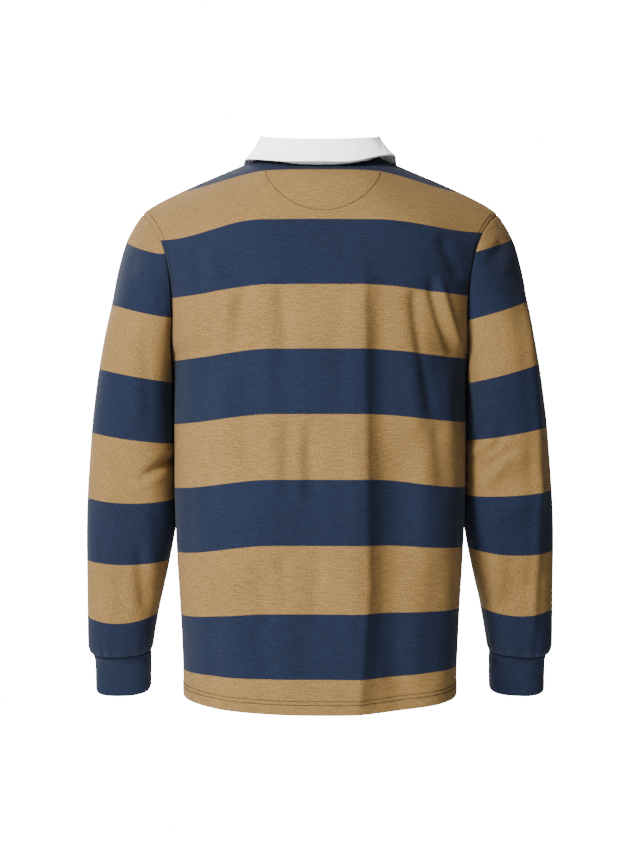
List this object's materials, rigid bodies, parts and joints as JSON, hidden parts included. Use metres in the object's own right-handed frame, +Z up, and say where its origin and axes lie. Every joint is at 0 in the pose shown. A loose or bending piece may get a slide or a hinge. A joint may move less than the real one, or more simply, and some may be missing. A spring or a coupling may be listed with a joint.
{
  "type": "long-sleeved polo shirt",
  "caption": "Long-sleeved polo shirt with wide hoops, a white folded collar, a buttoned placket and rib cuffs, filled out as worn.",
  "frame": {"origin": "middle of the neck opening, at the height where the shoulder seams meet the collar", "axes": "+Z up, the shirt faces -Y, the wearer's left is at +X"},
  "size_m": [0.6426, 0.2928, 0.77],
  "materials": {
    "striped_jersey": "cotton jersey with wide tan and navy hoops",
    "navy_rib": "navy rib knit",
    "collar_cloth": "plain white woven cotton",
    "button_rubber": "matt off-white rubber"
  },
  "bodies": {
    "root": {"back": "striped_jersey", "front": "striped_jersey", "sleeve_left": "striped_jersey", "sleeve_right": "striped_jersey", "placket_under": "striped_jersey", "placket_over": "striped_jersey", "cuff_left": "navy_rib", "cuff_right": "navy_rib", "collar": "collar_cloth", "button_1": "button_rubber", "button_2": "button_rubber", "button_3": "button_rubber"}
  },
  "joints": []
}
